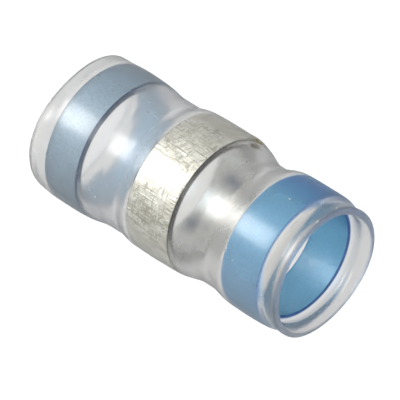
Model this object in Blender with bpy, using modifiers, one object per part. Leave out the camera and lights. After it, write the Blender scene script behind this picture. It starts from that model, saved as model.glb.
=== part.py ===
"""Solder seal wire connector: a clear heat-shrink sleeve, partly drawn down over a
solder ring at its middle and a thermoplastic seal ring near each end.

The sleeve stands on its bottom mouth. The origin is the centre of that mouth's cut
face, +Z runs up the bore, and every length below is stacked from the bottom up.
"""

import math

import bmesh
import bpy
from mathutils import Vector

MM = 0.001

# Facets round the bore
FACETS = 56

# Sleeve: one even wall of clear film
SLEEVE_WALL = 0.40 * MM
SEAT_CLEARANCE = 0.03 * MM

# Rings held in the sleeve
SOLDER_RADIUS = 3.465 * MM
SOLDER_LENGTH = 2.79 * MM
SOLDER_WALL = 0.36 * MM
SOLDER_EDGE = 0.06 * MM

SEAL_WALL = 0.28 * MM
SEAL_EDGE = 0.08 * MM
BOTTOM_SEAL_RADIUS = 3.48 * MM
BOTTOM_SEAL_LENGTH = 2.15 * MM
TOP_SEAL_RADIUS = 3.325 * MM
TOP_SEAL_LENGTH = 2.39 * MM

# Open mouths: a straight cut land, a flare, and the fall to the seat behind it
MOUTH_LAND = 0.12 * MM
BOTTOM_MOUTH_RADIUS = 3.40 * MM
BOTTOM_MOUTH_FLARE = 0.37 * MM
BOTTOM_THROAT_RADIUS = 3.44 * MM
BOTTOM_THROAT_RISE = 0.52 * MM
TOP_MOUTH_RADIUS = 3.22 * MM
TOP_MOUTH_FLARE = 0.44 * MM
TOP_THROAT_RADIUS = 3.16 * MM
TOP_THROAT_RISE = 0.70 * MM

# Drawn-down necks between the rings, and the shoulders that lead to them
LOWER_NECK_RADIUS = 3.29 * MM
LOWER_NECK_LENGTH = 0.95 * MM
LOWER_NECK_SEAL_SHOULDER = 1.50 * MM
LOWER_NECK_SOLDER_SHOULDER = 1.11 * MM
UPPER_NECK_RADIUS = 3.05 * MM
UPPER_NECK_LENGTH = 0.50 * MM
UPPER_NECK_SOLDER_SHOULDER = 1.87 * MM
UPPER_NECK_SEAL_SHOULDER = 1.41 * MM

# Uneven shrinkage, as waves round the sleeve: count in a turn, height, azimuth of a crest
BOTTOM_MOUTH_WAVES = (
    (1, 0.042 * MM, math.radians(37)),
    (2, 0.077 * MM, math.radians(-28)),
    (3, 0.069 * MM, math.radians(54)),
    (4, 0.035 * MM, math.radians(29)),
)
TOP_MOUTH_WAVES = (
    (1, 0.065 * MM, math.radians(96)),
    (2, 0.050 * MM, math.radians(-44)),
    (3, 0.056 * MM, math.radians(6)),
    (4, 0.021 * MM, math.radians(31)),
)
UPPER_NECK_WAVES = ((1, 0.070 * MM, 0.0),)

# Heights that follow from the stack
BOTTOM_SEAT_START = MOUTH_LAND + BOTTOM_MOUTH_FLARE + BOTTOM_THROAT_RISE
BOTTOM_SEAT_END = BOTTOM_SEAT_START + BOTTOM_SEAL_LENGTH - 2 * SEAL_EDGE
LOWER_NECK_START = BOTTOM_SEAT_END + LOWER_NECK_SEAL_SHOULDER
LOWER_NECK_END = LOWER_NECK_START + LOWER_NECK_LENGTH
SOLDER_SEAT_START = LOWER_NECK_END + LOWER_NECK_SOLDER_SHOULDER
SOLDER_SEAT_END = SOLDER_SEAT_START + SOLDER_LENGTH - 2 * SOLDER_EDGE
UPPER_NECK_START = SOLDER_SEAT_END + UPPER_NECK_SOLDER_SHOULDER
UPPER_NECK_END = UPPER_NECK_START + UPPER_NECK_LENGTH
TOP_SEAT_START = UPPER_NECK_END + UPPER_NECK_SEAL_SHOULDER
TOP_SEAT_END = TOP_SEAT_START + TOP_SEAL_LENGTH - 2 * SEAL_EDGE
TOP_THROAT = TOP_SEAT_END + TOP_THROAT_RISE
TOP_LAND_START = TOP_THROAT + TOP_MOUTH_FLARE
SLEEVE_LENGTH = TOP_LAND_START + MOUTH_LAND


def ease(share):
    """S-shaped rise from 0 to 1, level at both ends."""
    share = min(max(share, 0.0), 1.0)
    return share * share * (3 - 2 * share)


def clear_scene():
    for thing in list(bpy.data.objects):
        bpy.data.objects.remove(thing, do_unlink=True)


def new_collection(name):
    collection = bpy.data.collections.new(name)
    bpy.context.scene.collection.children.link(collection)
    return collection


def principled(name, colour, roughness, metallic=0.0, transmission=0.0):
    material = bpy.data.materials.new(name)
    material.use_nodes = True
    shader = material.node_tree.nodes["Principled BSDF"]
    shader.inputs["Base Color"].default_value = (*colour, 1.0)
    shader.inputs["Roughness"].default_value = roughness
    shader.inputs["Metallic"].default_value = metallic
    shader.inputs["Transmission Weight"].default_value = transmission
    material.diffuse_color = (*colour, 1.0)
    return material


def profile_object(name, profile, closed, collection):
    """Half section in the XZ plane, swept round Z by a Screw modifier."""
    mesh = bpy.data.meshes.new(name)
    points = [(radius, 0.0, height) for radius, height in profile]
    edges = [(index, index + 1) for index in range(len(points) - 1)]
    if closed:
        edges.append((len(points) - 1, 0))
    mesh.from_pydata(points, edges, [])
    turned = bpy.data.objects.new(name, mesh)
    collection.objects.link(turned)
    screw = turned.modifiers.new("turn", "SCREW")
    screw.axis = "Z"
    screw.angle = math.tau
    screw.steps = FACETS
    screw.render_steps = FACETS
    screw.use_smooth_shade = True
    return turned


def shoulder(start, end, steps):
    """Points from one (radius, height) to the next along an S-shaped fall, without the first."""
    points = []
    for step in range(1, steps + 1):
        share = step / steps
        radius = start[0] + (end[0] - start[0]) * ease(share)
        points.append((radius, start[1] + (end[1] - start[1]) * share))
    return points


def sleeve_bore_profile():
    """Bore of the sleeve from its top mouth down to its bottom mouth."""
    top_seat = TOP_SEAL_RADIUS + SEAT_CLEARANCE
    solder_seat = SOLDER_RADIUS + SEAT_CLEARANCE
    bottom_seat = BOTTOM_SEAL_RADIUS + SEAT_CLEARANCE
    profile = [(TOP_MOUTH_RADIUS, SLEEVE_LENGTH)]
    stretches = (
        (TOP_MOUTH_RADIUS, TOP_LAND_START, 1),
        (TOP_THROAT_RADIUS, TOP_THROAT, 3),
        (top_seat, TOP_SEAT_END, 4),
        (top_seat, TOP_SEAT_START, 1),
        (UPPER_NECK_RADIUS, UPPER_NECK_END, 5),
        (UPPER_NECK_RADIUS, UPPER_NECK_START, 1),
        (solder_seat, SOLDER_SEAT_END, 6),
        (solder_seat, SOLDER_SEAT_START, 1),
        (LOWER_NECK_RADIUS, LOWER_NECK_END, 4),
        (LOWER_NECK_RADIUS, LOWER_NECK_START, 1),
        (bottom_seat, BOTTOM_SEAT_END, 5),
        (bottom_seat, BOTTOM_SEAT_START, 1),
        (BOTTOM_THROAT_RADIUS, MOUTH_LAND + BOTTOM_MOUTH_FLARE, 3),
        (BOTTOM_MOUTH_RADIUS, MOUTH_LAND, 2),
        (BOTTOM_MOUTH_RADIUS, 0.0, 1),
    )
    for radius, height, steps in stretches:
        profile.extend(shoulder(profile[-1], (radius, height), steps))
    return profile


def wave_height(waves, azimuth):
    return sum(height * math.cos(count * (azimuth - crest)) for count, height, crest in waves)


def shrink_waves(azimuth, height):
    """How far uneven shrinkage pushes the wall out at one place; none on the ring seats."""
    bottom_share = ease((BOTTOM_SEAT_START - height) / (BOTTOM_SEAT_START - MOUTH_LAND))
    top_share = ease((height - TOP_SEAT_END) / (TOP_LAND_START - TOP_SEAT_END))
    rise = ease((height - SOLDER_SEAT_END) / (UPPER_NECK_START - SOLDER_SEAT_END))
    fall = ease((TOP_SEAT_START - height) / (TOP_SEAT_START - UPPER_NECK_END))
    return (
        bottom_share * wave_height(BOTTOM_MOUTH_WAVES, azimuth)
        + top_share * wave_height(TOP_MOUTH_WAVES, azimuth)
        + rise * fall * wave_height(UPPER_NECK_WAVES, azimuth)
    )


def make_sleeve(collection, material):
    """Bore surface turned and waved, then thickened outwards by one even wall."""
    turned = profile_object("shrink_sleeve_bore", sleeve_bore_profile(), False, collection)
    evaluated = turned.evaluated_get(bpy.context.evaluated_depsgraph_get())
    bore = bpy.data.meshes.new_from_object(evaluated)
    bpy.data.objects.remove(turned, do_unlink=True)

    surface = bmesh.new()
    surface.from_mesh(bore)
    for vertex in surface.verts:
        azimuth = math.atan2(vertex.co.y, vertex.co.x)
        outward = Vector((math.cos(azimuth), math.sin(azimuth), 0.0))
        vertex.co += outward * shrink_waves(azimuth, vertex.co.z)
    surface.to_mesh(bore)
    surface.free()

    bore.name = "shrink_sleeve"
    bore.materials.clear()
    bore.materials.append(material)
    sleeve = bpy.data.objects.new("shrink_sleeve", bore)
    collection.objects.link(sleeve)
    wall = sleeve.modifiers.new("wall", "SOLIDIFY")
    wall.thickness = SLEEVE_WALL
    wall.offset = 1.0
    wall.use_even_offset = True
    bore.shade_smooth()
    return sleeve


def ring_profile(radius, wall, length, edge):
    """Rectangular section with rounded edges, outer side first, top to bottom."""
    low, high = edge, length - edge
    inner, outer = radius - wall + edge, radius - edge
    corners = ((outer, high, 90), (outer, low, 0), (inner, low, -90), (inner, high, -180))
    profile = []
    for centre_radius, centre_height, start in corners:
        for turn in (0, 45, 90):
            angle = math.radians(start - turn)
            profile.append((centre_radius + edge * math.cos(angle), centre_height + edge * math.sin(angle)))
    return profile


def make_ring(name, radius, wall, length, edge, seat_start, collection, material):
    """Turned ring whose rounded lower edge begins just below its seat in the sleeve."""
    ring = profile_object(name, ring_profile(radius, wall, length, edge), True, collection)
    ring.location.z = seat_start - edge
    ring.data.materials.append(material)
    return ring


def build():
    clear_scene()
    parts = new_collection("solder_seal_wire_connector")

    clear_film = principled("clear_film", (0.86, 0.88, 0.90), 0.28, transmission=0.85)
    bright_solder = principled("bright_solder", (0.80, 0.79, 0.75), 0.34, metallic=1.0)
    blue_seal = principled("blue_seal", (0.10, 0.33, 0.62), 0.38)
    pale_blue_seal = principled("pale_blue_seal", (0.22, 0.36, 0.52), 0.42)

    make_sleeve(parts, clear_film)
    make_ring("solder_ring", SOLDER_RADIUS, SOLDER_WALL, SOLDER_LENGTH, SOLDER_EDGE,
              SOLDER_SEAT_START, parts, bright_solder)
    make_ring("seal_ring_bottom", BOTTOM_SEAL_RADIUS, SEAL_WALL, BOTTOM_SEAL_LENGTH, SEAL_EDGE,
              BOTTOM_SEAT_START, parts, pale_blue_seal)
    make_ring("seal_ring_top", TOP_SEAL_RADIUS, SEAL_WALL, TOP_SEAL_LENGTH, SEAL_EDGE,
              TOP_SEAT_START, parts, blue_seal)


build()
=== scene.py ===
"""Solder seal wire connector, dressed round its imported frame.

A clear heat-shrink sleeve grips a band of solder at its middle and a blue seal ring near
each mouth. The sleeve stands on its lower mouth, with its bore along +Z.
"""

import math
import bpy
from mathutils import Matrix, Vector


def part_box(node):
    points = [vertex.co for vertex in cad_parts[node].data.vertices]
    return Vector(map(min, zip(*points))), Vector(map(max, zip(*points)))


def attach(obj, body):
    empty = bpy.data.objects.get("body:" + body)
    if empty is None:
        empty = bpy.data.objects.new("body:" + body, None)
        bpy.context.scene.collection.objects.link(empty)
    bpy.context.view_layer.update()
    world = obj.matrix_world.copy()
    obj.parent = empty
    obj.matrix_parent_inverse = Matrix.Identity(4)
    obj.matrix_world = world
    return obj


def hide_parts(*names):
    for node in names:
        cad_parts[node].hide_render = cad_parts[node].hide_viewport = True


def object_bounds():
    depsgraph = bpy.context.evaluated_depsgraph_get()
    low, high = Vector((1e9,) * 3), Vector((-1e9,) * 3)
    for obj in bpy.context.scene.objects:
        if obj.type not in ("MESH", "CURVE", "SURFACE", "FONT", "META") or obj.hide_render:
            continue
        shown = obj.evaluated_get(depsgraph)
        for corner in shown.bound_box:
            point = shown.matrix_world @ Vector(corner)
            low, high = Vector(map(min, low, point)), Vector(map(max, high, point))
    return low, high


bl_info = {
    "name": "Solder Seal Connector",
    "version": (1, 0, 0),
    "blender": (4, 5, 0),
    "location": "View3D > Sidebar > Connector",
    "description": "Clear shrink sleeve with its solder band, seal rings, flux and a plain studio",
    "category": "Object",
}

from collections import namedtuple

import bmesh
import bpy
from bpy.props import FloatProperty, FloatVectorProperty, IntProperty, PointerProperty
from mathutils import Matrix, Vector, noise

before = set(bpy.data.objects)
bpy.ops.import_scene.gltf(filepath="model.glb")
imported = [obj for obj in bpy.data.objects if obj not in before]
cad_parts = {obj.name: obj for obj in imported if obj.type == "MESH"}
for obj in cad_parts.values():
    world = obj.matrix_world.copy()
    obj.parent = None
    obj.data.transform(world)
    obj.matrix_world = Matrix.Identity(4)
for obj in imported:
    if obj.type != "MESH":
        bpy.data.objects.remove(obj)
CAD_LOW, CAD_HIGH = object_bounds()

MM = 0.001
PER_MM = 1000.0

Ring = namedtuple("Ring", "radius low high")


def ring_in_frame(node):
    """Outer radius, lowest and highest height of a ring in the frame."""
    low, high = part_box(node)
    return Ring((high.x - low.x) / 2, low.z, high.z)


SOLDER = ring_in_frame("solder_ring")
BOTTOM_SEAL = ring_in_frame("seal_ring_bottom")
TOP_SEAL = ring_in_frame("seal_ring_top")
SLEEVE_LENGTH = CAD_HIGH.z - CAD_LOW.z
SLEEVE_MIDDLE = Vector((0.0, 0.0, SLEEVE_LENGTH / 2))

# Bore of the film: lands at its mouths, throats behind them, and necks with their shoulders
MOUTH_LAND = 0.12 * MM
BOTTOM_MOUTH_RADIUS = 3.40 * MM
BOTTOM_THROAT_RADIUS = 3.44 * MM
BOTTOM_THROAT_HEIGHT = 0.49 * MM
LOWER_NECK_RADIUS = 3.29 * MM
LOWER_NECK_SEAL_SHOULDER = 1.42 * MM
LOWER_NECK_SOLDER_SHOULDER = 0.95 * MM
UPPER_NECK_RADIUS = 3.05 * MM
UPPER_NECK_SOLDER_SHOULDER = 1.76 * MM
UPPER_NECK_SEAL_SHOULDER = 1.26 * MM
TOP_THROAT_RADIUS = 3.16 * MM
TOP_THROAT_DEPTH = 0.56 * MM
TOP_MOUTH_RADIUS = 3.22 * MM

# Uneven shrinkage, as waves round the sleeve: count in a turn, height, a crest's azimuth in degrees
BOTTOM_MOUTH_WAVES = (
    (1, 0.042 * MM, 37),
    (2, 0.077 * MM, -28),
    (3, 0.069 * MM, 54),
    (4, 0.035 * MM, 29),
)
TOP_MOUTH_WAVES = (
    (1, 0.065 * MM, 96),
    (2, 0.050 * MM, -44),
    (3, 0.056 * MM, 6),
    (4, 0.021 * MM, 31),
)
UPPER_NECK_WAVES = ((1, 0.070 * MM, 0),)

# The wall is a little thicker on one side, on +X where positive: height, excess
WALL_DRIFT = (
    (BOTTOM_SEAL.high, 0.0),
    ((SOLDER.low + SOLDER.high) / 2, -0.035 * MM),
    ((TOP_SEAL.low + TOP_SEAL.high) / 2, 0.055 * MM),
    (SLEEVE_LENGTH - TOP_THROAT_DEPTH, 0.030 * MM),
    (SLEEVE_LENGTH, 0.0),
)

# On its seats the film is crowned as the rings are, and grips them
SEAT_CROWN = 0.035 * MM
SEAT_GRIP = 0.05 * MM
GRIP_REACH = 0.20 * MM

# Faint ridges just below the rings, where the film starts to climb over their edges
RIDGES = (
    (BOTTOM_SEAL.low, 0.014 * MM),
    (SOLDER.low, 0.004 * MM),
    (TOP_SEAL.low, 0.006 * MM),
)
RIDGE_WIDTH = 0.06 * MM
RIDGE_DROP = 0.07 * MM

# The wall is thinned from inside near the top lip, most of all on its far side
TOP_LIP_THINNING = 0.20 * MM
TOP_LIP_THINNEST = math.radians(55)
TOP_LIP_REACH = 0.9 * MM

# The film's radius drifts between its seats, by this share of the ripple's height
DRIFT_SHARE = 0.6
DRIFT_REACH = 0.5 * MM

# The top seal ring sits a little askew, and its upper end is a little low
TOP_SEAL_TILT = 0.10 * MM
TOP_SEAL_TILT_CREST = math.radians(105)
TOP_SEAL_TRIM = 0.07 * MM

# Flux that ran out at the upper edge of the solder band, and the film swollen over it
FLUX_AZIMUTH = math.radians(187)
FLUX_HEIGHT = SOLDER.high + 0.33 * MM
FLUX_DEPTH = 0.075 * MM
FLUX_HALF_SIZE = (0.06 * MM, 0.42 * MM, 0.24 * MM)
SWELLING = 0.06 * MM
SWELLING_ARC = math.radians(17)
SWELLING_REACH = 0.40 * MM

# Bubbles and grit under the skin, and whitish blobs along the top lip as painted glints: azimuth in
# degrees, height and size in millimetres
BUBBLES_AND_GLINTS = (
    (-125.5, 14.40, 0.045),
    (-148.0, 16.25, 0.050),
    (-123.0, 16.41, 0.050),
    (-121.0, 16.38, 0.035),
    (-107.0, 16.42, 0.040),
    (-92.5, 16.42, 0.045),
    (-89.5, 16.40, 0.035),
    (-86.0, 16.42, 0.040),
    (-91.5, 0.32, 0.040),
    (-66.0, 13.05, 0.040),
    (-60.0, 13.60, 0.035),
    (-118.0, 2.30, 0.035),
    (-40.0, 4.40, 0.040),
    (62.0, 14.10, 0.055),
    (118.0, 5.20, 0.045),
)

# As shares of a bubble's size: its depth, then half its thickness, width and height
BUBBLE_DEPTH_SHARE = 0.10
BUBBLE_SHAPE = (0.5, 1.2, 0.7)

# Lumps on the flux and the bubbles: their height and grain, and where their noise starts
LUMP_HEIGHT = 0.16
LUMP_GRAIN = 1.7
LUMP_START = Vector((5.0, 2.0, 9.0))

# Painted dark reflections inside the far wall of the solder band: place along X, height, half length
PAINTED_BORE_REFLECTIONS = (
    (-1.45 * MM, 7.9 * MM, 1.1 * MM),
    (1.45 * MM, 7.1 * MM, 0.9 * MM),
)
BORE_REFLECTION_HALF_WIDTH = 0.75 * MM
BORE_REFLECTION_REACH_IN = 1.2 * MM

# Where the painted shade on the top seal ring's upper end is deepest
PAINTED_SHADE_PLACE = (-2.9 * MM, -1.9 * MM, TOP_SEAL.high)
PAINTED_SHADE_REACH = (1.7 * MM, 1.7 * MM, 1.3 * MM)

# Soft noise: how fast it changes round the sleeve and along it, and where it starts
FILM_DRIFT = (1.4, 0.5, 3.0)
FILM_RIPPLE = (2.2, 0.8, 11.0)
SOLDER_DENTS = (2.5, 0.9, 21.0)
SEAL_DENTS = (1.6, 0.6, 31.0)

# Dents of the rings: their depth, and the level of noise at which the wall stays in place
DENT_DEPTH = 0.003 * MM
DENT_LEVEL = 0.4

# Rows of faces along a side, steps round an edge, and columns round a ring
FILM_ROWS = 146
SOLDER_ROWS = 24
SEAL_ROWS = 12
LIP_STEPS = 3
EDGE_STEPS = 4
SOLDER_COLUMNS = 256
SEAL_COLUMNS = 224

# Faces whose normals rise or fall by more than this take the finish of the cut ends
END_SLOPE = 0.6
RING_UPPER_SLOPE = 0.25

# Values on the Principled shader's own sockets
CLEAR_FILM = {"Transmission Weight": 0.98, "IOR": 1.40}
CLOUDY_FILM = {"Transmission Weight": 0.80, "IOR": 1.40}
BLUE_PLASTIC = {"Transmission Weight": 0.75, "IOR": 1.55}
CLOUDY_FLUX = {"Transmission Weight": 0.3, "IOR": 1.5}
BUBBLE_SKIN = {"Transmission Weight": 0.3, "IOR": 1.4}
METAL = {"Metallic": 1.0}
# Low specular that keeps the painted-shade ends of the solder band dark
SHADED_END_SPECULAR = {"Specular IOR Level": 0.08}

# Painted colours: blue for the film's edge-on side over the top ring, and the paler, painted-light parts
# of that ring's ends
PAINTED_BLUE_OVER_RING = (0.20, 0.72, 1.0)
TOP_END_RIM = (0.42, 0.47, 0.55)
TOP_END_INSIDE = (0.60, 0.61, 0.62)
TOP_END_SIDE = (0.32, 0.47, 0.66)

# Width of the photograph, and how far right and up of its centre the sleeve's middle lies
IMAGE_WIDTH = 400
SHIFT_RIGHT_PIXELS = 2.0
SHIFT_UP_PIXELS = 3.5

# The floor is a wide disc, a hair below the sleeve
FLOOR_RADIUS = 600 * MM
FLOOR_DROP = 0.02 * MM

# Light of the surround and the floor
WHITE = (1.0, 1.0, 1.0, 1.0)


def length_property(name, description, default, least, most):
    return FloatProperty(
        name=name, description=description, default=default, min=least, max=most, precision=5,
        unit="LENGTH",
    )


def colour_property(name, description, default):
    return FloatVectorProperty(
        name=name, description=description, default=default, min=0.0, max=1.0, size=3,
        subtype="COLOR",
    )


class FilmSettings(bpy.types.PropertyGroup):
    """Sizes and finish of the clear shrink film."""

    wall: length_property("Wall", "Thickness of the shrunk film", 0.40 * MM, 0.1 * MM, 1.0 * MM)
    lip: length_property("Lip radius", "Rounding of the cut ends", 0.11 * MM, 0.01 * MM, 0.2 * MM)
    ripple: length_property(
        "Ripple", "Height of the soft ripples left by shrinking", 0.020 * MM, 0.0, 0.05 * MM,
    )
    columns: IntProperty(
        name="Columns", description="Faces round the sleeve", default=320, min=48, max=400,
    )
    tint: colour_property("Film tint", "Colour that light takes on in the film", (0.945, 0.94, 0.92))
    limb: colour_property(
        "Limb tint", "Colour that light takes on where the film is seen edge-on", (0.64, 0.65, 0.68),
    )
    haze: FloatProperty(
        name="Haze", description="Roughness of the film, which blurs what lies deep behind it",
        default=0.18, min=0.0, max=1.0, subtype="FACTOR",
    )


class SolderSettings(bpy.types.PropertyGroup):
    """Sizes and finish of the solder band and its flux."""

    wall: length_property("Wall", "Thickness of the solder band", 0.36 * MM, 0.1 * MM, 0.8 * MM)
    edge: length_property("Edge radius", "Rounding of the band's edges", 0.06 * MM, 0.01 * MM, 0.1 * MM)
    bright: colour_property("Bright metal", "Colour of freshly rolled solder", (0.93, 0.925, 0.86))
    dull: colour_property("Dull metal", "Colour of oxidised solder", (0.78, 0.775, 0.69))
    flux: colour_property("Flux", "Colour of the flux at the band's edge", (0.26, 0.21, 0.02))


class SealSettings(bpy.types.PropertyGroup):
    """Sizes and colours of the two seal rings."""

    wall: length_property("Wall", "Thickness of the seal rings", 0.28 * MM, 0.1 * MM, 0.8 * MM)
    edge: length_property("Edge radius", "Rounding of the rings' edges", 0.08 * MM, 0.01 * MM, 0.12 * MM)
    top: colour_property("Upper ring", "Colour of the upper seal ring", (0.19, 0.51, 0.76))
    # The upper ring's -X colour is painted shade and its +X colour painted light
    top_painted_minus_x: colour_property(
        "Upper ring, deep side", "Colour of the upper seal ring on its -X side", (0.015, 0.26, 0.69),
    )
    top_painted_plus_x: colour_property(
        "Upper ring, pale side", "Colour of the upper seal ring on its +X side", (0.38, 0.60, 0.80),
    )
    bottom: colour_property("Lower ring", "Colour of the lower seal ring", (0.42, 0.55, 0.66))
    # The lower ring's -X colour is painted light and its +X colour painted shade
    bottom_painted_minus_x: colour_property(
        "Lower ring, deep side", "Colour of the lower seal ring on its -X side", (0.42, 0.57, 0.70),
    )
    bottom_painted_plus_x: colour_property(
        "Lower ring, pale side", "Colour of the lower seal ring on its +X side", (0.39, 0.49, 0.57),
    )
    top_end_painted_shade: colour_property(
        # The rings' end colours are painted shade, the front one lighter
        "Upper ring end", "Colour of the cut ends of the upper seal ring", (0.011, 0.045, 0.135),
    )
    top_end_front_painted_shade: colour_property(
        "Upper ring end, front", "Colour of the same ends on the -Y side", (0.055, 0.14, 0.30),
    )
    bottom_end_painted_shade: colour_property(
        "Lower ring end", "Colour of the cut ends of the lower seal ring", (0.012, 0.032, 0.075),
    )


class StageSettings(bpy.types.PropertyGroup):
    """Camera, surround and how wide the view is."""

    distance: FloatProperty(
        name="Camera distance", description="From the middle of the sleeve to the camera",
        default=0.40, min=0.05, max=2.0, unit="LENGTH",
    )
    elevation: FloatProperty(
        name="Camera elevation", description="Angle of the camera above the floor",
        default=math.radians(30.9), min=0.0, max=math.radians(90), subtype="ANGLE",
    )
    roll: FloatProperty(
        name="Camera roll", description="Turn of the picture, which lays the sleeve down in view",
        default=math.radians(121.8), min=-math.pi, max=math.pi, subtype="ANGLE",
    )
    field: length_property("Field", "Width of the view at the sleeve", 19.9 * MM, 5 * MM, 100 * MM)
    surround: FloatProperty(
        name="Surround", description="Strength of the soft light from all round",
        default=0.69, min=0.0, max=2.0,
    )


def ease(share):
    """S-shaped rise from 0 to 1, level at both ends."""
    share = min(max(share, 0.0), 1.0)
    return share * share * (3 - 2 * share)


def eased_value(stations, height):
    """Value that eases from each (height, value) station to the next."""
    for (low, low_value), (high, high_value) in zip(stations, stations[1:]):
        if height <= high:
            return low_value + (high_value - low_value) * ease((height - low) / (high - low))
    return stations[-1][1]


def wave_height(waves, azimuth):
    return sum(
        height * math.cos(count * (azimuth - math.radians(crest))) for count, height, crest in waves
    )


def soft_noise(grain, azimuth, height):
    """Smooth noise from -1 to 1 that closes on itself round the bore."""
    round_scale, along_scale, start = grain
    return noise.noise(Vector((
        math.cos(azimuth) * round_scale,
        math.sin(azimuth) * round_scale,
        height * PER_MM * along_scale + start,
    )))


def free_share(height, reach):
    """1 where the film spans free of the rings, easing to 0 on their seats."""
    rings = (BOTTOM_SEAL, SOLDER, TOP_SEAL)
    return ease(min(max(ring.low - height, height - ring.high) for ring in rings) / reach)


def seat_crown(height):
    """The rings, and the film on them, are a hair fuller at mid-height than at their ends."""
    for ring in (BOTTOM_SEAL, SOLDER, TOP_SEAL):
        across = (2 * height - ring.low - ring.high) / (ring.high - ring.low)
        if abs(across) < 1:
            return SEAT_CROWN * (1 - across * across)
    return 0.0


def climb_ridge(height):
    """Faint ridge of the film just below each ring."""
    total = 0.0
    for low, ridge in RIDGES:
        away = (height - low + RIDGE_DROP) / RIDGE_WIDTH
        if abs(away) < 4:
            total += ridge * math.exp(-away * away)
    return total


def flux_swelling(azimuth, height):
    """How far the film stands out over the flux."""
    turn = math.remainder(azimuth - FLUX_AZIMUTH, math.tau) / SWELLING_ARC
    away = (height - SOLDER.high) / SWELLING_REACH
    return SWELLING * math.exp(-turn * turn - away * away)


def shrink_waves(azimuth, height):
    """How far uneven shrinkage pushes the wall out at one place; none on the ring seats."""
    bottom = ease((BOTTOM_SEAL.low - height) / (BOTTOM_SEAL.low - MOUTH_LAND))
    top = ease((height - TOP_SEAL.high) / (SLEEVE_LENGTH - MOUTH_LAND - TOP_SEAL.high))
    rise = ease((height - SOLDER.high) / UPPER_NECK_SOLDER_SHOULDER)
    fall = ease((TOP_SEAL.low - height) / UPPER_NECK_SEAL_SHOULDER)
    return (
        bottom * wave_height(BOTTOM_MOUTH_WAVES, azimuth)
        + top * wave_height(TOP_MOUTH_WAVES, azimuth)
        + rise * fall * wave_height(UPPER_NECK_WAVES, azimuth)
    )


def bore_stations(seal_edge, solder_edge):
    """(height, bore radius) from the lower mouth up; the bore eases from each to the next."""
    return (
        (0.0, BOTTOM_MOUTH_RADIUS),
        (MOUTH_LAND, BOTTOM_MOUTH_RADIUS),
        (BOTTOM_THROAT_HEIGHT, BOTTOM_THROAT_RADIUS),
        (BOTTOM_SEAL.low + seal_edge, BOTTOM_SEAL.radius),
        (BOTTOM_SEAL.high - seal_edge, BOTTOM_SEAL.radius),
        (BOTTOM_SEAL.high + LOWER_NECK_SEAL_SHOULDER, LOWER_NECK_RADIUS),
        (SOLDER.low - LOWER_NECK_SOLDER_SHOULDER, LOWER_NECK_RADIUS),
        (SOLDER.low + solder_edge, SOLDER.radius),
        (SOLDER.high - solder_edge, SOLDER.radius),
        (SOLDER.high + UPPER_NECK_SOLDER_SHOULDER, UPPER_NECK_RADIUS),
        (TOP_SEAL.low - UPPER_NECK_SEAL_SHOULDER, UPPER_NECK_RADIUS),
        (TOP_SEAL.low + seal_edge, TOP_SEAL.radius),
        (TOP_SEAL.high - seal_edge, TOP_SEAL.radius),
        (SLEEVE_LENGTH - TOP_THROAT_DEPTH, TOP_THROAT_RADIUS),
        (SLEEVE_LENGTH - MOUTH_LAND, TOP_MOUTH_RADIUS),
        (SLEEVE_LENGTH, TOP_MOUTH_RADIUS),
    )


def film_sides(scene):
    """Functions of (azimuth, height) that give the radius of the film's bore and of its outer side."""
    film = scene.connector_film
    stations = bore_stations(scene.connector_seal.edge, scene.connector_solder.edge)
    slope_step = 0.01 * MM

    def contour(azimuth, height):
        drift = DRIFT_SHARE * film.ripple * soft_noise(FILM_DRIFT, azimuth, height)
        return (
            eased_value(stations, height)
            + seat_crown(height)
            + shrink_waves(azimuth, height)
            + free_share(height, DRIFT_REACH) * drift
        )

    def bore(azimuth, height):
        towards_mouth = ease((height - SLEEVE_LENGTH + TOP_LIP_REACH) / TOP_LIP_REACH)
        side = (1 + math.cos(azimuth - TOP_LIP_THINNEST)) / 2
        thinner = TOP_LIP_THINNING * towards_mouth * side * side
        grip = SEAT_GRIP * (1 - free_share(height, GRIP_REACH))
        return contour(azimuth, height) - grip + thinner

    def skin(azimuth, height):
        rise = contour(azimuth, height + slope_step) - contour(azimuth, height - slope_step)
        slope = rise / (2 * slope_step)
        return (
            contour(azimuth, height)
            + film.wall * math.hypot(1.0, slope)
            + eased_value(WALL_DRIFT, height) * math.cos(azimuth)
            + film.ripple * soft_noise(FILM_RIPPLE, azimuth, height)
            + climb_ridge(height)
            + flux_swelling(azimuth, height)
        )

    return bore, skin


def even_steps(low, high, count):
    return [low + (high - low) * step / count for step in range(count + 1)]


def rounded_corner(radius, height, edge, start, steps):
    """Quarter round of a section, turning clockwise from the angle start in degrees."""
    points = []
    for step in range(steps + 1):
        angle = math.radians(start - 90 * step / steps)
        points.append((radius + edge * math.cos(angle), height + edge * math.sin(angle)))
    return points


def film_section(bore, skin, lip):
    """Section of the film with rounded lips, from its outer side round to its bore."""
    low, high = lip, SLEEVE_LENGTH - lip
    heights = even_steps(low, high, FILM_ROWS)

    def section(azimuth):
        points = [(skin(azimuth, height), height) for height in reversed(heights)]
        points += rounded_corner(skin(azimuth, low) - lip, low, lip, 0, LIP_STEPS)[1:]
        points += rounded_corner(bore(azimuth, low) + lip, low, lip, -90, LIP_STEPS)[:-1]
        points += [(bore(azimuth, height), height) for height in heights]
        points += rounded_corner(bore(azimuth, high) + lip, high, lip, 180, LIP_STEPS)[1:]
        points += rounded_corner(skin(azimuth, high) - lip, high, lip, 90, LIP_STEPS)[:-1]
        return points

    return section


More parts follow.
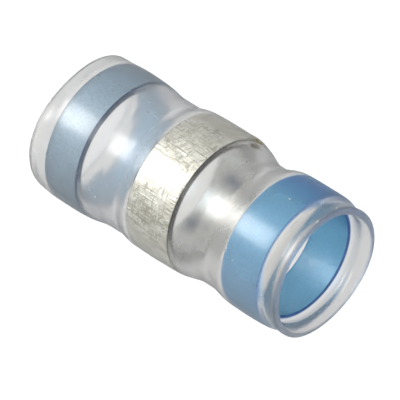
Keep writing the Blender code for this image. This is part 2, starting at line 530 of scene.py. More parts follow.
def ring_section(ring, wall, edge, rows, dents, tilt=0.0, crest=0.0):
    """Section of a faintly dented ring with rounded edges, which may sit askew, highest at the crest."""
    inner, outer = ring.radius - wall + edge, ring.radius - edge
    low, high = ring.low + edge, ring.high - edge

    def section(azimuth):
        points = rounded_corner(outer, high, edge, 90, EDGE_STEPS)
        points += [(ring.radius, height) for height in even_steps(high, low, rows)[1:-1]]
        points += rounded_corner(outer, low, edge, 0, EDGE_STEPS)
        points += rounded_corner(inner, low, edge, -90, EDGE_STEPS)
        points += [(ring.radius - wall, height) for height in even_steps(low, high, rows)[1:-1]]
        points += rounded_corner(inner, high, edge, -180, EDGE_STEPS)
        rise = tilt * math.cos(azimuth - crest)
        uneven = []
        for across, height in points:
            dent = DENT_DEPTH * (soft_noise(dents, azimuth, height) - DENT_LEVEL)
            uneven.append((across + seat_crown(height) + dent, height + rise))
        return uneven

    return section


def new_object(name, data):
    made = bpy.data.objects.new(name, data)
    bpy.context.scene.collection.objects.link(made)
    return made


def new_piece(name, surface):
    """Smooth object made from a bmesh, which is freed."""
    mesh = bpy.data.meshes.new(name)
    surface.to_mesh(mesh)
    surface.free()
    mesh.shade_smooth()
    return new_object(name, mesh)


def loft_round(name, section, columns):
    """Closed wall round the bore; section(azimuth) gives (radius, height) points, all alike in count."""
    surface = bmesh.new()
    rows = []
    for column in range(columns):
        azimuth = math.tau * column / columns
        across = Vector((math.cos(azimuth), math.sin(azimuth), 0.0))
        rows.append([
            surface.verts.new(across * radius + Vector((0.0, 0.0, height)))
            for radius, height in section(azimuth)
        ])
    for here, beside in zip(rows, rows[1:] + rows[:1]):
        for index in range(len(here)):
            after = (index + 1) % len(here)
            surface.faces.new((here[index], beside[index], beside[after], here[after]))
    bmesh.ops.recalc_face_normals(surface, faces=surface.faces)
    return new_piece(name, surface)


def add_blobs(name, blobs):
    """Small lumpy drops; each is (azimuth, radius, height, (thickness, width, height) half sizes)."""
    drops = bmesh.new()
    for azimuth, radius, height, size in blobs:
        drop = bmesh.ops.create_icosphere(drops, subdivisions=4, radius=1.0)["verts"]
        turn = Matrix.Rotation(azimuth, 4, "Z")
        for vertex in drop:
            lumps = 1 + LUMP_HEIGHT * noise.noise(vertex.co * LUMP_GRAIN + LUMP_START)
            place = Vector(a * b * lumps for a, b in zip(vertex.co, size))
            vertex.co = turn @ (place + Vector((radius, 0.0, height)))
    return new_piece(name, drops)


def new_node(tree, kind, inputs=None, **settings):
    """Shader node; each of its inputs takes a value, or the output that feeds it."""
    node = tree.nodes.new("ShaderNode" + kind)
    for name, value in settings.items():
        setattr(node, name, value)
    for socket, value in (inputs or {}).items():
        if isinstance(value, bpy.types.NodeSocket):
            tree.links.new(value, node.inputs[socket])
        else:
            node.inputs[socket].default_value = value
    return node


def calculate(tree, operation, first, second=0.0, clamp=False):
    inputs = {0: first, 1: second}
    return new_node(tree, "Math", inputs, operation=operation, use_clamp=clamp).outputs[0]


def vector_result(tree, operation, first, second):
    return new_node(tree, "VectorMath", {0: first, 1: second}, operation=operation).outputs[0]


def vector_length(tree, vector):
    return new_node(tree, "VectorMath", {0: vector}, operation="LENGTH").outputs["Value"]


def remap(tree, value, low, high, to_low=0.0, to_high=1.0, curve="LINEAR"):
    """Value mapped from low and high to two others, and held between them."""
    inputs = {"Value": value, "From Min": low, "From Max": high, "To Min": to_low, "To Max": to_high}
    return new_node(tree, "MapRange", inputs, interpolation_type=curve).outputs[0]


def noise_level(tree, place, scale, detail, **more):
    inputs = {"Vector": place, "Scale": scale, "Detail": detail, **more}
    return new_node(tree, "TexNoise", inputs).outputs[0]


def mix_numbers(tree, share, first, second):
    """Goes from the first number to the second as the share rises from 0 to 1."""
    return new_node(tree, "Mix", {0: share, 2: first, 3: second}).outputs[0]


def mix_colours(tree, share, first, second):
    """Goes from the first colour to the second as the share rises from 0 to 1."""
    inputs = {0: share}
    for socket, colour in ((6, first), (7, second)):
        inputs[socket] = colour if isinstance(colour, bpy.types.NodeSocket) else (*colour, 1.0)
    return new_node(tree, "Mix", inputs, data_type="RGBA").outputs[2]


def mix_shaders(tree, share, first, second):
    """Goes from the first node's shader to the second's as the share rises from 0 to 1."""
    inputs = {0: share, 1: first.outputs[0], 2: second.outputs[0]}
    return new_node(tree, "MixShader", inputs).outputs[0]


def highest(tree, value, *others):
    for other in others:
        value = calculate(tree, "MAXIMUM", value, other)
    return value


def millimetre_place(tree):
    """Object coordinates in millimetres."""
    place = new_node(tree, "TexCoord").outputs["Object"]
    return new_node(tree, "VectorMath", {0: place, 3: PER_MM}, operation="SCALE").outputs[0]


def add_effect(tree, name, values, outputs, fill):
    """Places a shared effect, a node group that is built on first use, and gives its outputs.

    values holds its named inputs, each a number or a vector. fill(group, given) makes its nodes and
    lists what feeds each output.
    """
    group = bpy.data.node_groups.get(name)
    if group is None:
        group = bpy.data.node_groups.new(name, "ShaderNodeTree")
        for title, value in values.items():
            kind = "NodeSocketFloat" if isinstance(value, float) else "NodeSocketVector"
            socket = group.interface.new_socket(title, in_out="INPUT", socket_type=kind)
            socket.default_value = value
        for title in outputs:
            group.interface.new_socket(title, in_out="OUTPUT", socket_type="NodeSocketFloat")
        given = group.nodes.new("NodeGroupInput").outputs
        end = group.nodes.new("NodeGroupOutput")
        for title, result in zip(outputs, fill(group, given)):
            group.links.new(result, end.inputs[title])
    node = tree.nodes.new("ShaderNodeGroup")
    node.node_tree = group
    for title, value in values.items():
        node.inputs[title].default_value = value
    return node.outputs


def fill_side_share(group, given):
    parts = new_node(group, "SeparateXYZ", {0: millimetre_place(group)}).outputs
    return [remap(group, parts[axis], given["Start"], given["End"]) for axis in "XYZ"]


def side_share(tree, axis, start, end):
    """Rises from 0 to 1 as a place moves from start to end along an axis."""
    values = {"Start": start * PER_MM, "End": end * PER_MM}
    return add_effect(tree, "side_share", values, "XYZ", fill_side_share)[axis]


def fill_radial_share(group, given):
    flat = vector_result(group, "MULTIPLY", millimetre_place(group), (1.0, 1.0, 0.0))
    return [remap(group, vector_length(group, flat), given["Start"], given["End"])]


def radial_share(tree, start, end):
    """Rises from 0 to 1 as the distance from the bore's axis goes from start to end."""
    values = {"Start": start * PER_MM, "End": end * PER_MM}
    return add_effect(tree, "radial_share", values, ["Share"], fill_radial_share)["Share"]


def fill_soft_spot(group, given):
    off = vector_result(group, "SUBTRACT", millimetre_place(group), given["Centre"])
    share = vector_result(group, "DIVIDE", off, given["Reach"])
    return [remap(group, vector_length(group, share), 1.0, 0.0, curve="SMOOTHSTEP")]


def soft_spot(tree, centre, reach):
    """1 at a place, easing to 0 at its edge; centre and reach are x, y and z."""
    values = {"Centre": Vector(centre) * PER_MM, "Reach": Vector(reach) * PER_MM}
    return add_effect(tree, "soft_spot", values, ["Mask"], fill_soft_spot)["Mask"]


def fill_patches(group, given):
    cloud = noise_level(group, millimetre_place(group), given["Scale"], given["Detail"], Roughness=0.55)
    return [remap(group, cloud, 0.32, 0.68, given["Low"], given["High"])]


def patches(tree, scale, detail, low=0.0, high=1.0):
    """Soft patches between two levels; used for haze, tarnish and colour drift."""
    values = {"Scale": scale, "Detail": detail, "Low": low, "High": high}
    return add_effect(tree, "cloudy_patches", values, ["Level"], fill_patches)["Level"]


def fill_scratches(group, given):
    parts = new_node(group, "SeparateXYZ", {0: millimetre_place(group)}).outputs
    turn = calculate(group, "ARCTAN2", parts["Y"], parts["X"])
    round_length = calculate(group, "MULTIPLY", turn, SOLDER.radius * PER_MM)
    unrolled = {"X": round_length, "Y": parts["Z"], "Z": given["Offset"]}
    flat = new_node(group, "CombineXYZ", unrolled).outputs[0]
    turning = {"Vector": flat, "Angle": given["Angle"]}
    turned = new_node(group, "VectorRotate", turning, rotation_type="Z_AXIS").outputs[0]
    drawn = new_node(group, "CombineXYZ", {"X": 1.0, "Y": given["Stretch"], "Z": 1.0}).outputs[0]
    stretched = vector_result(group, "MULTIPLY", turned, drawn)
    grain = noise_level(group, stretched, given["Scale"], 1.0)
    line = remap(group, grain, given["Level"], calculate(group, "ADD", given["Level"], 0.07))
    patch = calculate(group, "ADD", noise_level(group, flat, 0.9, 2.0), given["Cover"])
    shown = remap(group, patch, 0.95, 1.12)
    return [calculate(group, "MULTIPLY", line, shown), calculate(group, "MULTIPLY", grain, shown)]


def scratches(tree, scale, stretch, angle, level, cover, offset=0.0):
    """Mask and height of thin scratches on a turned surface, in patches, at an angle to the bore."""
    values = {
        "Scale": scale, "Stretch": stretch, "Angle": math.radians(angle), "Level": level,
        "Cover": cover, "Offset": offset,
    }
    made = add_effect(tree, "fine_scratches", values, ["Mask", "Height"], fill_scratches)
    return made["Mask"], made["Height"]


def fill_relief(group, given):
    place = millimetre_place(group)
    fine = noise_level(group, place, given["Fine scale"], 3.0)
    weighed = calculate(group, "MULTIPLY", fine, given["Fine share"])
    return [calculate(group, "ADD", noise_level(group, place, given["Coarse scale"], 1.0), weighed)]


def relief(tree, coarse_scale, fine_scale, fine_share):
    """Height of fine moulded or drawn texture, from two sizes of grain."""
    values = {"Coarse scale": coarse_scale, "Fine scale": fine_scale, "Fine share": fine_share}
    return add_effect(tree, "surface_relief", values, ["Height"], fill_relief)["Height"]


def fill_end_bands(group, given):
    height = new_node(group, "SeparateXYZ", {0: millimetre_place(group)}).outputs["Z"]
    up = calculate(group, "SUBTRACT", height, given["Low"])
    down = calculate(group, "SUBTRACT", given["High"], height)
    nearest = calculate(group, "MINIMUM", up, down)
    share = calculate(group, "DIVIDE", nearest, given["Width"])
    return [calculate(group, "SUBTRACT", 1.0, share, clamp=True)]


def end_bands(tree, low, high, width):
    """1 at and beyond both ends of a span of heights, fading to 0 over a width inside it."""
    values = {"Low": low * PER_MM, "High": high * PER_MM, "Width": width * PER_MM}
    return add_effect(tree, "end_bands", values, ["Mask"], fill_end_bands)["Mask"]


def new_material(name):
    material = bpy.data.materials.new(name)
    material.use_nodes = True
    return material, material.node_tree


def finish_material(material, colour, roughness, plain=None, texture=None, lamp_tint=None):
    """Feeds the Principled shader and gives the material.

    plain holds values for the shader's own sockets, and texture the height, strength and depth of
    a bump. With a lamp_tint, lamp light passes straight through a clear wall, tinted, and reaches
    what is inside.
    """
    tree = material.node_tree
    shader = tree.nodes["Principled BSDF"]
    tree.links.new(colour, shader.inputs["Base Color"])
    tree.links.new(roughness, shader.inputs["Roughness"])
    for socket, value in (plain or {}).items():
        shader.inputs[socket].default_value = value
    if texture is not None:
        height, strength, depth = texture
        bump = new_node(tree, "Bump", {"Height": height, "Strength": strength, "Distance": depth})
        tree.links.new(bump.outputs["Normal"], shader.inputs["Normal"])
    if lamp_tint is not None:
        lamp_ray = new_node(tree, "LightPath").outputs["Is Shadow Ray"]
        through = new_node(tree, "BsdfTransparent", {"Color": (*lamp_tint, 1.0)})
        either = mix_shaders(tree, lamp_ray, shader, through)
        tree.links.new(either, tree.nodes["Material Output"].inputs["Surface"])
    return material


def shade(colour, factor):
    return tuple(min(share * factor, 1.0) for share in colour)


def neck_painted_light(tree, colour):
    """The film's colour, with painted light: nearly clear on the -Y front of the neck below the solder
    band.
    """
    off_neck = end_bands(tree, BOTTOM_SEAL.high, SOLDER.low, 0.6 * MM)
    back = side_share(tree, "Y", -0.5 * MM, 0.5 * MM)
    return mix_colours(tree, highest(tree, off_neck, back), (0.99, 0.99, 0.99), colour)


def film_material(settings):
    """Clear film with a faint haze and a soft draw texture; painted light on the lower neck's front,
    painted shade at both mouths and painted blue on the edge-on side over the top ring.
    """
    material, tree = new_material("clear_film")
    colour = mix_colours(tree, patches(tree, 0.45, 4.0), settings.tint, shade(settings.tint, 0.90))
    edge_on = new_node(tree, "LayerWeight", {"Blend": 0.35}).outputs["Facing"]
    off_ring = end_bands(tree, TOP_SEAL.low, TOP_SEAL.high, 0.3 * MM)
    # Painted blue: the edge-on film over the top ring's -X side takes the ring's colour, in place of the
    # surround's grazing reflection
    painted_blue_limb = mix_colours(tree, off_ring, PAINTED_BLUE_OVER_RING, settings.limb)
    deep_side = side_share(tree, "X", -1.9 * MM, -2.8 * MM)
    limb = mix_colours(tree, deep_side, settings.limb, painted_blue_limb)
    deeper = mix_colours(tree, edge_on, neck_painted_light(tree, colour), limb)
    # Painted shade: the film greys within 0.22 mm of both mouths
    mouth_painted_shade = end_bands(tree, 0.0, SLEEVE_LENGTH, 0.22 * MM)
    shaded_at_mouths = mix_colours(tree, mouth_painted_shade, deeper, (0.34, 0.35, 0.37))
    haze = patches(tree, 0.9, 3.0, settings.haze * 0.85, settings.haze * 1.25)
    off_solder = end_bands(tree, SOLDER.low, SOLDER.high, 0.4 * MM)
    clearer = mix_numbers(tree, off_solder, 0.11, haze)
    duller = mix_numbers(tree, end_bands(tree, 0.0, SLEEVE_LENGTH, 0.30 * MM), clearer, 0.50)
    dullest = mix_numbers(tree, edge_on, duller, 0.55)
    texture = relief(tree, 0.9, 2.2, 0.04), 0.22, 0.03 * MM
    return finish_material(material, shaded_at_mouths, dullest, CLEAR_FILM, texture, settings.tint)


def bore_material(settings):
    """Smooth inner side of the film, satin at the top mouth, with painted shade that greys it there and
    the lower neck's painted light.
    """
    material, tree = new_material("film_bore")
    colour = mix_colours(tree, patches(tree, 0.6, 3.0), settings.tint, shade(settings.tint, 0.94))
    # Painted shade: the bore greys above the top ring, inside the top mouth
    mouth = side_share(tree, "Z", TOP_SEAL.high, TOP_SEAL.high + 0.3 * MM)
    greyer = mix_colours(tree, mouth, neck_painted_light(tree, colour), (0.59, 0.59, 0.60))
    satin = mix_numbers(tree, mouth, patches(tree, 1.2, 2.0, 0.05, 0.10), 0.26)
    texture = relief(tree, 0.7, 2.0, 0.0), 0.12, 0.03 * MM
    return finish_material(material, greyer, satin, CLEAR_FILM, texture, settings.tint)


def cut_film_material(settings):
    """Cut end of the film, cloudy, with painted light at the lower mouth, where the floor shades it, and
    painted bluish shade at the upper one, bluest on its far +X part.
    """
    material, tree = new_material("cut_film")
    clouds = patches(tree, 2.0, 3.0)
    # Painted light for the lower mouth; painted bluish shade for the upper one
    lower = mix_colours(tree, clouds, (0.58, 0.58, 0.56), (0.48, 0.48, 0.46))
    bluer = mix_colours(tree, clouds, (0.38, 0.42, 0.51), (0.30, 0.34, 0.43))
    greyer = mix_colours(tree, clouds, (0.46, 0.48, 0.53), (0.36, 0.38, 0.43))
    right = side_share(tree, "X", -1.5 * MM, 1.0 * MM)
    far = side_share(tree, "Y", -1.6 * MM, 0.8 * MM)
    upper = mix_colours(tree, calculate(tree, "MULTIPLY", right, far), bluer, greyer)
    colour = mix_colours(tree, side_share(tree, "Z", 7.0 * MM, 9.0 * MM), lower, upper)
    rough = patches(tree, 3.0, 2.0, 0.36, 0.50)
    texture = relief(tree, 3.0, 9.0, 0.3), 0.3, 0.02 * MM
    return finish_material(material, colour, rough, CLOUDY_FILM, texture, settings.tint)


def thin_squiggles(tree):
    """Mask of thin wandering scores, in patches."""
    wander = noise_level(tree, millimetre_place(tree), 2.6, 2.0, Distortion=1.2)
    apart = calculate(tree, "ABSOLUTE", calculate(tree, "SUBTRACT", wander, 0.5))
    line = remap(tree, apart, 0.008, 0.040, 1.0, 0.0)
    return calculate(tree, "MULTIPLY", line, patches(tree, 0.9, 2.0, -0.5, 1.9), clamp=True)


def solder_material(settings):
    """Rolled solder: bright, with tarnish clouds and fine scratches that run several ways."""
    material, tree = new_material("bright_solder")
    colour = mix_colours(tree, patches(tree, 1.3, 5.0), settings.bright, settings.dull)
    hatch = (
        scratches(tree, scale=12.0, stretch=0.05, angle=2, level=0.55, cover=0.62),
        scratches(tree, scale=13.0, stretch=0.05, angle=-62, level=0.60, cover=0.52, offset=7.0),
        scratches(tree, scale=14.0, stretch=0.09, angle=88, level=0.60, cover=0.56, offset=15.0),
    )
    masks, heights = zip(*hatch)
    scored = calculate(tree, "MULTIPLY", highest(tree, *masks, thin_squiggles(tree)), 0.60)
    darkened = mix_colours(tree, scored, colour, (0.22, 0.20, 0.13))
    softer = calculate(tree, "MULTIPLY", relief(tree, 2.4, 14.0, 0.3), 0.5)
    height = calculate(tree, "ADD", highest(tree, *heights), softer)
    rough = patches(tree, 3.2, 3.0, 0.26, 0.44)
    return finish_material(material, darkened, rough, METAL, (height, 1.0, 0.036 * MM))


def solder_bore_material(settings):
    """Smooth inner side of the solder band, drawn along the bore, with two painted dark reflections."""
    material, tree = new_material("drawn_solder")
    colour = mix_colours(tree, patches(tree, 1.1, 3.0), (0.62, 0.61, 0.58), (0.50, 0.50, 0.48))
    mask, height = scratches(tree, scale=9.0, stretch=0.03, angle=0, level=0.56, cover=0.60, offset=3.0)
    drawn = calculate(tree, "MULTIPLY", mask, 0.4)
    streaked = mix_colours(tree, drawn, colour, (0.30, 0.31, 0.33))
    reflection_spots = []
    # Painted reflections: two dark bluish patches on the far inner wall
    for side, middle, half_length in PAINTED_BORE_REFLECTIONS:
        back = math.sqrt((SOLDER.radius - settings.wall) ** 2 - side ** 2)
        reach = (BORE_REFLECTION_HALF_WIDTH, BORE_REFLECTION_REACH_IN, half_length)
        reflection_spots.append(soft_spot(tree, (side, back, middle), reach))
    with_painted_reflections = mix_colours(tree, highest(tree, *reflection_spots), streaked, (0.16, 0.19, 0.24))
    rough = patches(tree, 2.0, 3.0, 0.20, 0.30)
    return finish_material(material, with_painted_reflections, rough, METAL, (height, 0.5, 0.010 * MM))


def solder_end_material(settings):
    """Sheared end of the solder band, in painted shade: near black, with a dark grey band towards the
    bore.
    """
    material, tree = new_material("solder_end_painted_shade")
    # Painted shade: near-black end faces, dark grey towards the bore
    dark = mix_colours(tree, patches(tree, 4.0, 4.0), (0.006, 0.006, 0.008), (0.022, 0.020, 0.019))
    grey_edge = SOLDER.radius - 0.72 * settings.wall
    inside = radial_share(tree, grey_edge + 0.05 * MM, grey_edge - 0.03 * MM)
    colour = mix_colours(tree, inside, dark, (0.22, 0.22, 0.22))
    rough = patches(tree, 6.0, 3.0, 0.55, 0.75)
    texture = relief(tree, 5.0, 16.0, 0.5), 0.8, 0.03 * MM
    return finish_material(material, colour, rough, SHADED_END_SPECULAR, texture)


def seal_material(name, colours, smoothest, roughest, mottle):
    """Translucent blue thermoplastic; colours are those of the -X side, the middle and the +X side, the
    side ones in painted light and shade.
    """
    material, tree = new_material(name)
    painted_minus_x, colour, painted_side_colour = colours
    pale = shade(colour, 1.25)
    body = mix_colours(tree, patches(tree, 0.8, 3.0, 0.0, 0.35), colour, pale)
    deep_side = side_share(tree, "X", -2.0 * MM, -3.1 * MM)
    painted_shade_end = soft_spot(tree, PAINTED_SHADE_PLACE, PAINTED_SHADE_REACH)
    # Painted light and shade: the blue changes from -X to +X, and darkens at the top ring's upper end
    deeper = mix_colours(tree, highest(tree, deep_side, painted_shade_end), body, painted_minus_x)
    paler = mix_colours(tree, side_share(tree, "X", 0.4 * MM, 2.3 * MM), deeper, painted_side_colour)
    mottled = mix_colours(tree, patches(tree, 9.0, 3.0, 0.0, mottle), paler, shade(colour, 0.62))
    rough = patches(tree, 2.5, 2.0, smoothest, roughest)
    texture = relief(tree, 1.3, 4.0, 0.12), 0.35, 0.03 * MM
    return finish_material(material, mottled, rough, BLUE_PLASTIC, texture, pale)


def seal_end_material(name, radius, ends):
    """Sawn end of a seal ring, in painted shade: its blue near black at the back, lighter in front.

    ends holds its colour at the back, that of its outer rim there, its colour in front, and those
    of the inner part of the front and of that part's +X side.
    """
    material, tree = new_material(name)
    deep, deep_rim, front, front_inside, front_side = ends
    clouds = patches(tree, 3.0, 3.0)
    rim_start, rim_end = radius - 0.15 * MM, radius - 0.09 * MM
    # Painted shade at the back of the end, painted light on the front's inner part
    back = mix_colours(tree, clouds, deep, shade(deep, 1.6))
    back_rimmed = mix_colours(tree, radial_share(tree, rim_start, rim_end), back, deep_rim)
    within = radial_share(tree, rim_end, rim_start)
    inside = calculate(tree, "MULTIPLY", within, side_share(tree, "X", -2.7 * MM, -1.7 * MM))
    right = side_share(tree, "X", 0.6 * MM, 1.9 * MM)
    painted_side_colour = mix_colours(tree, right, front_inside, front_side)
    front_clouded = mix_colours(tree, clouds, front, shade(front, 1.3))
    front_painted = mix_colours(tree, inside, front_clouded, painted_side_colour)
    body = mix_colours(tree, side_share(tree, "Y", 1.0 * MM, -1.5 * MM), back_rimmed, front_painted)
    rough = patches(tree, 4.0, 2.0, 0.50, 0.70)
    return finish_material(
        material, body, rough, texture=(relief(tree, 4.0, 12.0, 0.3), 0.4, 0.02 * MM),
    )


def flux_material(settings):
    """Amber flux, glassy and darker where it is thick."""
    material, tree = new_material("amber_flux")
    colour = mix_colours(tree, patches(tree, 5.0, 2.0), settings.flux, shade(settings.flux, 0.6))
    return finish_material(material, colour, patches(tree, 7.0, 2.0, 0.12, 0.3), CLOUDY_FLUX)


def bubble_and_glint_material():
    """Whitish skin over a tiny bubble, and on the painted glints along the top lip."""
    material, tree = new_material("pale_bubble_and_glint")
    colour = mix_colours(tree, patches(tree, 9.0, 2.0), (0.86, 0.88, 0.86), (0.66, 0.70, 0.70))
    return finish_material(material, colour, patches(tree, 12.0, 2.0, 0.20, 0.40), BUBBLE_SKIN)


def dress(piece, materials, slot, *nodes, upper_slope=END_SLOPE):
    """Gives a finished piece its materials and body, and hides the CAD nodes it stands for.

    The first material is for the sides and the second, if any, for the faces that look along the bore.
    A third is for the side that faces the bore. upper_slope says how far round its upper edge the
    second one reaches. slot is not used.
    """
    for material in materials:
        piece.data.materials.append(material)
    if len(materials) > 1:
        for face in piece.data.polygons:
            inward = face.normal.to_2d().dot(face.center.to_2d()) < 0
            if face.normal.z > upper_slope or face.normal.z < -END_SLOPE:
                face.material_index = 1
            elif inward and len(materials) > 2:
                face.material_index = 2
    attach(piece, "root")
    if nodes:
        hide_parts(*nodes)


class CONNECTOR_OT_film(bpy.types.Operator):
    """Clear shrink film, drawn down over the rings, with waved mouths and rounded lips"""

    bl_idname = "connector.film"
    bl_label = "Shrink film"

    def execute(self, context):
        settings = context.scene.connector_film
        section = film_section(*film_sides(context.scene), settings.lip)
        film = loft_round("clear_film_sleeve", section, settings.columns)
        finish = [film_material(settings), cut_film_material(settings), bore_material(settings)]
        dress(film, finish, "shrink_sleeve", "shrink_sleeve")
        return {"FINISHED"}


class CONNECTOR_OT_solder(bpy.types.Operator):
    """Band of rolled solder at the middle of the sleeve, faintly dented"""

    bl_idname = "connector.solder"
    bl_label = "Solder band"

    def execute(self, context):
        settings = context.scene.connector_solder
        section = ring_section(SOLDER, settings.wall, settings.edge, SOLDER_ROWS, SOLDER_DENTS)
        band = loft_round("solder_band", section, SOLDER_COLUMNS)
        finish = [solder_material(settings), solder_end_material(settings), solder_bore_material(settings)]
        dress(band, finish, "solder_ring", "solder_ring", upper_slope=RING_UPPER_SLOPE)
        return {"FINISHED"}


def add_seal_ring(node, ring, settings, colours, ends, painted_bore_brightness, mottle, tilt=0.0):
    """Seal ring with its sides, cut ends and bore, the bore's blue scaled as painted shade in the top ring
    and painted light in the lower one.
    """
    section = ring_section(
        ring, settings.wall, settings.edge, SEAL_ROWS, SEAL_DENTS, tilt, TOP_SEAL_TILT_CREST,
    )
    piece = loft_round("blue_" + node, section, SEAL_COLUMNS)
    # The bore's blue, scaled: painted shade in the top ring, painted light in the lower one
    painted_bore_colours = [shade(colours[1], painted_bore_brightness)] * 3
    finish = [
        seal_material("blue_" + node, colours, 0.29, 0.41, mottle),
        seal_end_material(node + "_ends", ring.radius, ends),
        seal_material("blue_" + node + "_bore", painted_bore_colours, 0.36, 0.48, 0.40),
    ]
    dress(piece, finish, node, node, upper_slope=RING_UPPER_SLOPE)


class CONNECTOR_OT_seals(bpy.types.Operator):
    """The two blue seal rings, one behind each mouth"""

    bl_idname = "connector.seals"
    bl_label = "Seal rings"

    def execute(self, context):
        settings = context.scene.connector_seal
        add_seal_ring(
            "seal_ring_bottom", BOTTOM_SEAL, settings,
            colours=(settings.bottom_painted_minus_x, settings.bottom, settings.bottom_painted_plus_x),
            ends=[settings.bottom_end_painted_shade] * 5, painted_bore_brightness=1.1, mottle=0.75,
        )
        add_seal_ring(
            "seal_ring_top", TOP_SEAL._replace(high=TOP_SEAL.high - TOP_SEAL_TRIM), settings,
            colours=(settings.top_painted_minus_x, settings.top, settings.top_painted_plus_x),
            ends=(settings.top_end_painted_shade, TOP_END_RIM, settings.top_end_front_painted_shade, TOP_END_INSIDE, TOP_END_SIDE),
            painted_bore_brightness=0.72, mottle=0.40, tilt=TOP_SEAL_TILT,
        )
        return {"FINISHED"}


class CONNECTOR_OT_flux(bpy.types.Operator):
    """Bead of amber flux on the upper edge of the solder band"""

    bl_idname = "connector.flux"
    bl_label = "Flux bead"

    def execute(self, context):
        _, skin = film_sides(context.scene)
        radius = skin(FLUX_AZIMUTH, FLUX_HEIGHT) - FLUX_DEPTH
        piece = add_blobs("flux_bead", [(FLUX_AZIMUTH, radius, FLUX_HEIGHT, FLUX_HALF_SIZE)])
        dress(piece, [flux_material(context.scene.connector_solder)], "solder_ring")
        return {"FINISHED"}


class CONNECTOR_OT_bubbles(bpy.types.Operator):
    """Tiny bubbles and grit just under the skin of the film, and painted glints along the top lip"""

    bl_idname = "connector.bubbles"
    bl_label = "Bubbles"

    def execute(self, context):
        _, skin = film_sides(context.scene)
        blobs = []
        for degrees, height, size in BUBBLES_AND_GLINTS:
            azimuth, height, size = math.radians(degrees), height * MM, size * MM
            radius = skin(azimuth, height) - BUBBLE_DEPTH_SHARE * size
            blobs.append((azimuth, radius, height, tuple(share * size for share in BUBBLE_SHAPE)))
        piece = add_blobs("film_bubbles", blobs)
        dress(piece, [bubble_and_glint_material()], "shrink_sleeve")
        return {"FINISHED"}


def floor_material():
    """Pale floor, white in view and light grey through the film, with a faint shadow in both."""
    material, tree = new_material("pale_floor")
    tree.nodes.remove(tree.nodes["Principled BSDF"])
    path = new_node(tree, "LightPath").outputs
    plain = new_node(tree, "BsdfDiffuse", {"Color": (0.80, 0.80, 0.80, 1.0)})
    faint = new_node(tree, "BsdfDiffuse", {"Color": (0.16, 0.16, 0.16, 1.0)})
    strength = mix_numbers(tree, path["Is Camera Ray"], 0.66, 0.90)
    white = new_node(tree, "Emission", {"Color": WHITE, "Strength": strength})
    shown = new_node(tree, "AddShader", {0: faint.outputs[0], 1: white.outputs[0]})
    seen = highest(tree, path["Is Camera Ray"], path["Is Transmission Ray"])
    either = mix_shaders(tree, seen, plain, shown)
    tree.links.new(either, tree.nodes["Material Output"].inputs["Surface"])
    return material


def add_floor():
    slab = bmesh.new()
    bmesh.ops.create_circle(slab, cap_ends=True, segments=96, radius=FLOOR_RADIUS)
    floor = new_piece("floor", slab)
    floor.data.materials.append(floor_material())
    floor.location.z = CAD_LOW.z - FLOOR_DROP
    floor.visible_shadow = False
    floor.visible_glossy = False


def add_world(strength):
    """White to the camera, softer light for everything else."""
    world = bpy.data.worlds.new("pale_studio")
    world.use_nodes = True
    tree = world.node_tree
    tree.nodes.clear()
    light = new_node(tree, "Background", {"Color": WHITE, "Strength": strength})
    white = new_node(tree, "Background", {"Color": WHITE, "Strength": 1.0})
    in_view = new_node(tree, "LightPath").outputs["Is Camera Ray"]
    new_node(tree, "OutputWorld", {"Surface": mix_shaders(tree, in_view, light, white)})
    bpy.context.scene.world = world


def direction(azimuth, elevation):
    """Unit vector from the sleeve towards a camera or lamp; azimuth 0 is in front, at -Y."""
    return Vector((
        math.sin(azimuth) * math.cos(elevation),
        -math.cos(azimuth) * math.cos(elevation),
        math.sin(elevation),
    ))


def add_softbox(name, azimuth, elevation, distance, width, height, energy):
    """Rectangular lamp that looks at the sleeve's middle; its angles are in degrees."""
    lamp = bpy.data.lights.new(name, "AREA")
    lamp.shape = "RECTANGLE"
    lamp.size, lamp.size_y = width, height
    lamp.energy = energy
    box = new_object(name, lamp)
    towards = direction(math.radians(azimuth), math.radians(elevation))
    box.location = SLEEVE_MIDDLE + towards * distance
    box.rotation_mode = "QUATERNION"
    box.rotation_quaternion = (-towards).to_track_quat("-Z", "Y")
    box.visible_transmission = False


def add_camera(stage):
    """Camera at the photograph's angle, which also rolls so that the sleeve lies in view."""
    lens = bpy.data.cameras.new("camera")
    camera = new_object("camera", lens)
    lens.lens = lens.sensor_width * stage.distance / stage.field
    lens.clip_start = stage.distance / 10
    lens.clip_end = stage.distance * 10
    back = direction(0.0, stage.elevation)
    across = Vector((1.0, 0.0, 0.0))
    upright = back.cross(across)
    right = across * math.cos(stage.roll) + upright * math.sin(stage.roll)
    above = upright * math.cos(stage.roll) - across * math.sin(stage.roll)
    pixel = stage.field / IMAGE_WIDTH
    aim = SLEEVE_MIDDLE - right * (SHIFT_RIGHT_PIXELS * pixel) - above * (SHIFT_UP_PIXELS * pixel)
    turn = Matrix((right, above, back)).transposed().to_4x4()
    camera.matrix_world = Matrix.Translation(aim + back * stage.distance) @ turn
    bpy.context.scene.camera = camera


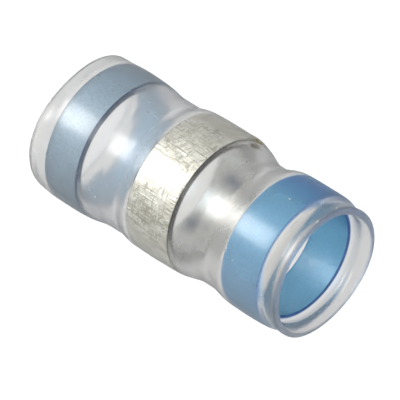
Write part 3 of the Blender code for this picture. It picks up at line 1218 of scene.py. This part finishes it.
class CONNECTOR_OT_stage(bpy.types.Operator):
    """Pale floor, soft studio light and the camera"""

    bl_idname = "connector.stage"
    bl_label = "Studio"

    def execute(self, context):
        stage = context.scene.connector_stage
        context.scene.view_settings.view_transform = "Standard"
        add_floor()
        add_world(stage.surround)
        add_softbox(
            "front_low", azimuth=0, elevation=-31, distance=0.25, width=0.12, height=0.08, energy=0.36,
        )
        add_softbox(
            "overhead", azimuth=20, elevation=70, distance=0.30, width=0.20, height=0.20, energy=0.70,
        )
        add_camera(stage)
        return {"FINISHED"}


class CONNECTOR_PT_panel(bpy.types.Panel):
    """Lists the pieces and the studio in the sidebar"""

    bl_label = "Solder Seal Connector"
    bl_idname = "CONNECTOR_PT_panel"
    bl_space_type = "VIEW_3D"
    bl_region_type = "UI"
    bl_category = "Connector"

    def draw(self, context):
        for operator in OPERATORS:
            self.layout.operator(operator.bl_idname)
        for name in SETTINGS:
            group = getattr(context.scene, name)
            column = self.layout.column(align=True)
            for title in group.bl_rna.properties.keys():
                if title not in ("rna_type", "name"):
                    column.prop(group, title)


SETTINGS = {
    "connector_film": FilmSettings,
    "connector_solder": SolderSettings,
    "connector_seal": SealSettings,
    "connector_stage": StageSettings,
}
OPERATORS = (
    CONNECTOR_OT_film,
    CONNECTOR_OT_solder,
    CONNECTOR_OT_seals,
    CONNECTOR_OT_flux,
    CONNECTOR_OT_bubbles,
    CONNECTOR_OT_stage,
)
CLASSES = (*SETTINGS.values(), *OPERATORS, CONNECTOR_PT_panel)


def register():
    for kind in CLASSES:
        bpy.utils.register_class(kind)
    for name, group in SETTINGS.items():
        setattr(bpy.types.Scene, name, PointerProperty(type=group))


def unregister():
    for name in SETTINGS:
        delattr(bpy.types.Scene, name)
    for kind in reversed(CLASSES):
        bpy.utils.unregister_class(kind)


def main():
    register()
    bpy.ops.connector.film()
    bpy.ops.connector.solder()
    bpy.ops.connector.seals()
    bpy.ops.connector.flux()
    bpy.ops.connector.bubbles()
    bpy.ops.connector.stage()


if __name__ == "__main__":
    main()
